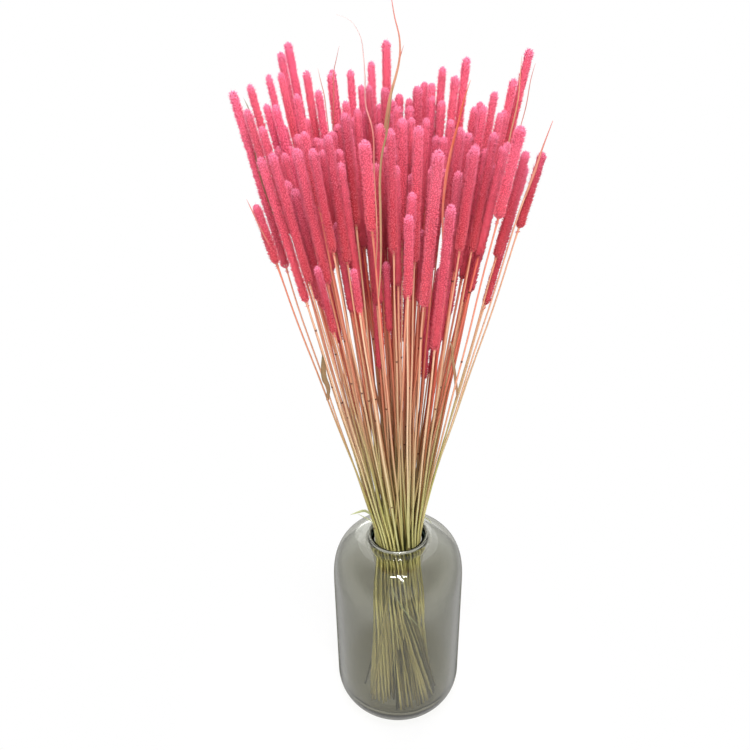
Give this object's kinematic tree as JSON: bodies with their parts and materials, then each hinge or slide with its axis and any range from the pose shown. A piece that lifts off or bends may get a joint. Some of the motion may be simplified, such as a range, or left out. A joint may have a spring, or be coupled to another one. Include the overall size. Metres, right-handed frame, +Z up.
{
  "type": "vase of dried timothy grass",
  "caption": "Smoked glass bottle vase holding an upright, fanned bunch of dried timothy grass, with thin straw stems and long, dense, bristly pink-dyed spikes.",
  "frame": {"origin": "middle of the flat foot of the vase, at the height of the surface that it stands on", "axes": "+Z up along the axis of the vase; seen from the front, along +Y, +X is to the right"},
  "size_m": [0.2381, 0.1883, 0.684],
  "materials": {
    "smoked_glass": "clear, smoke tinted, glossy",
    "dyed_timothy": "dry grass: bristly matt pink spikes on satin straw stems, yellow-green at the foot",
    "dried_leaf": "dry folded leaf blade, matt, straw to pink-brown"
  },
  "bodies": {
    "root": {"vase": "smoked_glass", "stalk_01": "dyed_timothy", "stalk_02": "dyed_timothy", "stalk_03": "dyed_timothy", "stalk_04": "dyed_timothy", "stalk_05": "dyed_timothy", "stalk_06": "dyed_timothy", "stalk_07": "dyed_timothy", "stalk_08": "dyed_timothy", "stalk_09": "dyed_timothy", "stalk_10": "dyed_timothy", "stalk_11": "dyed_timothy", "stalk_12": "dyed_timothy", "stalk_13": "dyed_timothy", "stalk_14": "dyed_timothy", "stalk_15": "dyed_timothy", "stalk_16": "dyed_timothy", "stalk_17": "dyed_timothy", "stalk_18": "dyed_timothy", "stalk_19": "dyed_timothy", "stalk_20": "dyed_timothy", "stalk_21": "dyed_timothy", "stalk_22": "dyed_timothy", "stalk_23": "dyed_timothy", "stalk_24": "dyed_timothy", "stalk_25": "dyed_timothy", "stalk_26": "dyed_timothy", "stalk_27": "dyed_timothy", "stalk_28": "dyed_timothy", "stalk_29": "dyed_timothy", "stalk_30": "dyed_timothy", "stalk_31": "dyed_timothy", "stalk_32": "dyed_timothy", "stalk_33": "dyed_timothy", "stalk_34": "dyed_timothy", "stalk_35": "dyed_timothy", "stalk_36": "dyed_timothy", "stalk_37": "dyed_timothy", "stalk_38": "dyed_timothy", "stalk_39": "dyed_timothy", "stalk_40": "dyed_timothy", "stalk_41": "dyed_timothy", "stalk_42": "dyed_timothy", "stalk_43": "dyed_timothy", "stalk_44": "dyed_timothy", "stalk_45": "dyed_timothy", "stalk_46": "dyed_timothy", "stalk_47": "dyed_timothy", "stalk_48": "dyed_timothy", "stalk_49": "dyed_timothy", "stalk_50": "dyed_timothy", "stalk_51": "dyed_timothy", "stalk_52": "dyed_timothy", "stalk_53": "dyed_timothy", "stalk_54": "dyed_timothy", "stalk_55": "dyed_timothy", "stalk_56": "dyed_timothy", "leafy_shoot_tall": "dried_leaf", "leafy_shoot_right": "dried_leaf"}
  },
  "joints": []
}
